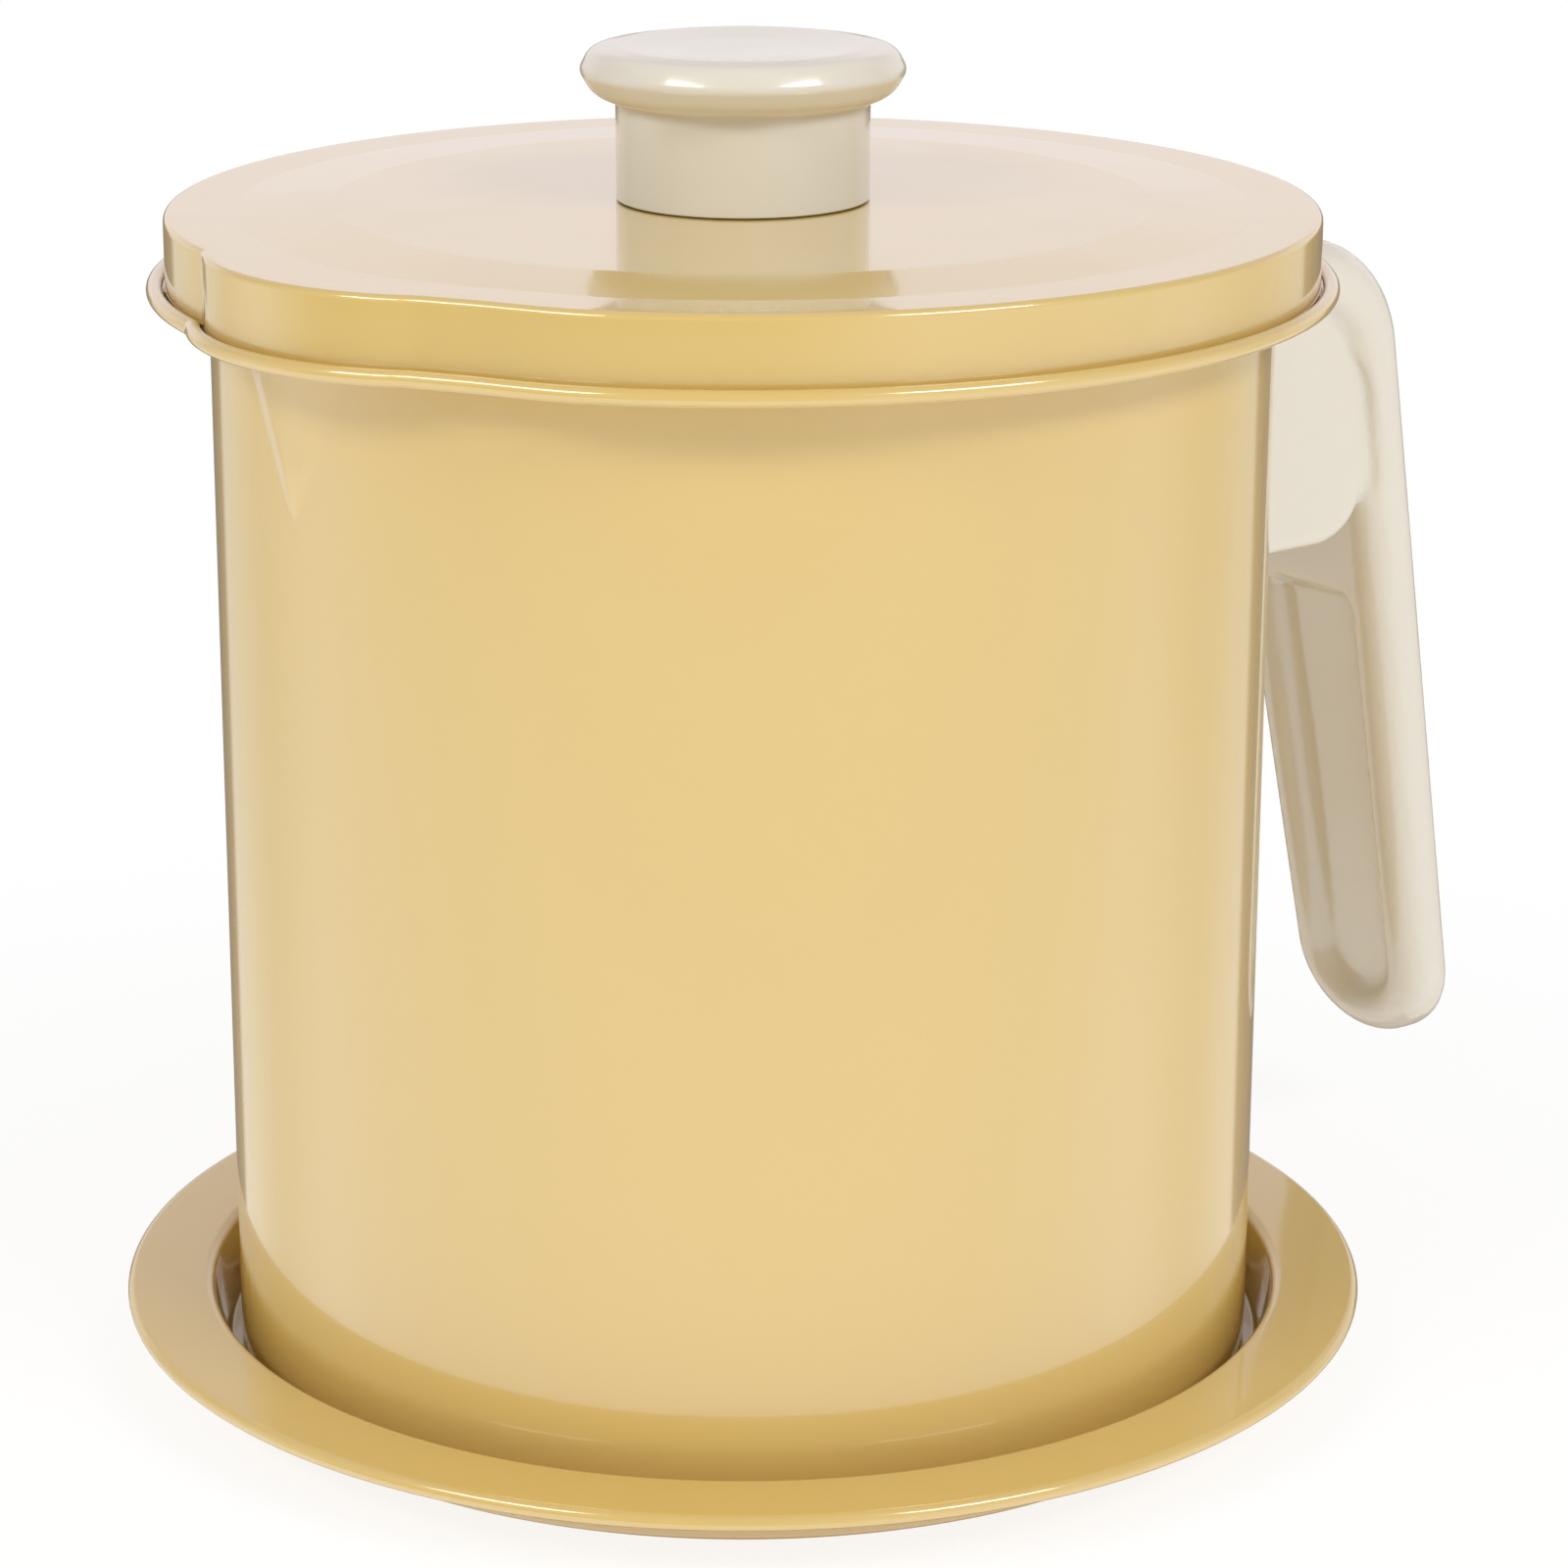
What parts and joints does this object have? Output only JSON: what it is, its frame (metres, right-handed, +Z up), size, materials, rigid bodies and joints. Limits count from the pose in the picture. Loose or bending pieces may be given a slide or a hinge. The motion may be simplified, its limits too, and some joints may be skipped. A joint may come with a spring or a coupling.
{
  "type": "bacon grease container",
  "caption": "Painted steel grease pot with pouring lip, moulded handle, lift-off knobbed lid, hanging strainer and round drip tray.",
  "frame": {"origin": "on the pot's axis, at the level of the surface that the tray stands on", "axes": "+Z up along the pot's axis, +X towards the handle, pouring lip towards -X"},
  "size_m": [0.2005, 0.1588, 0.1659],
  "materials": {
    "yellow_paint": "glossy warm yellow paint on steel sheet",
    "cream_plastic": "glossy cream moulding",
    "bracket_steel": "plain steel",
    "screw_steel": "bright plated steel",
    "strainer_steel": "brushed stainless steel",
    "dark_rubber": "dark matte rubber",
    "insert_brass": "turned brass"
  },
  "bodies": {
    "tray": {"tray": "yellow_paint"},
    "pot": {"pot_body": "yellow_paint", "handle_bracket": "bracket_steel", "bracket_nut": "bracket_steel", "handle": "cream_plastic", "handle_screw": "screw_steel", "handle_washer": "screw_steel"},
    "strainer": {"strainer_cup": "strainer_steel", "strainer_mesh": "strainer_steel", "strainer_ring": "strainer_steel"},
    "lid": {"lid": "yellow_paint", "knob": "cream_plastic", "knob_gasket": "dark_rubber", "knob_insert": "insert_brass", "knob_screw": "screw_steel", "knob_washer": "screw_steel"}
  },
  "joints": [
    {"name": "pot_lift", "type": "slide", "parent": "tray", "child": "pot", "axis": [0, 0, 1], "range_m": [0, 0.06]},
    {"name": "strainer_lift", "type": "slide", "parent": "pot", "child": "strainer", "axis": [0, 0, 1], "range_m": [0, 0.08]},
    {"name": "lid_lift", "type": "slide", "parent": "strainer", "child": "lid", "axis": [0, 0, 1], "range_m": [0, 0.06]}
  ]
}
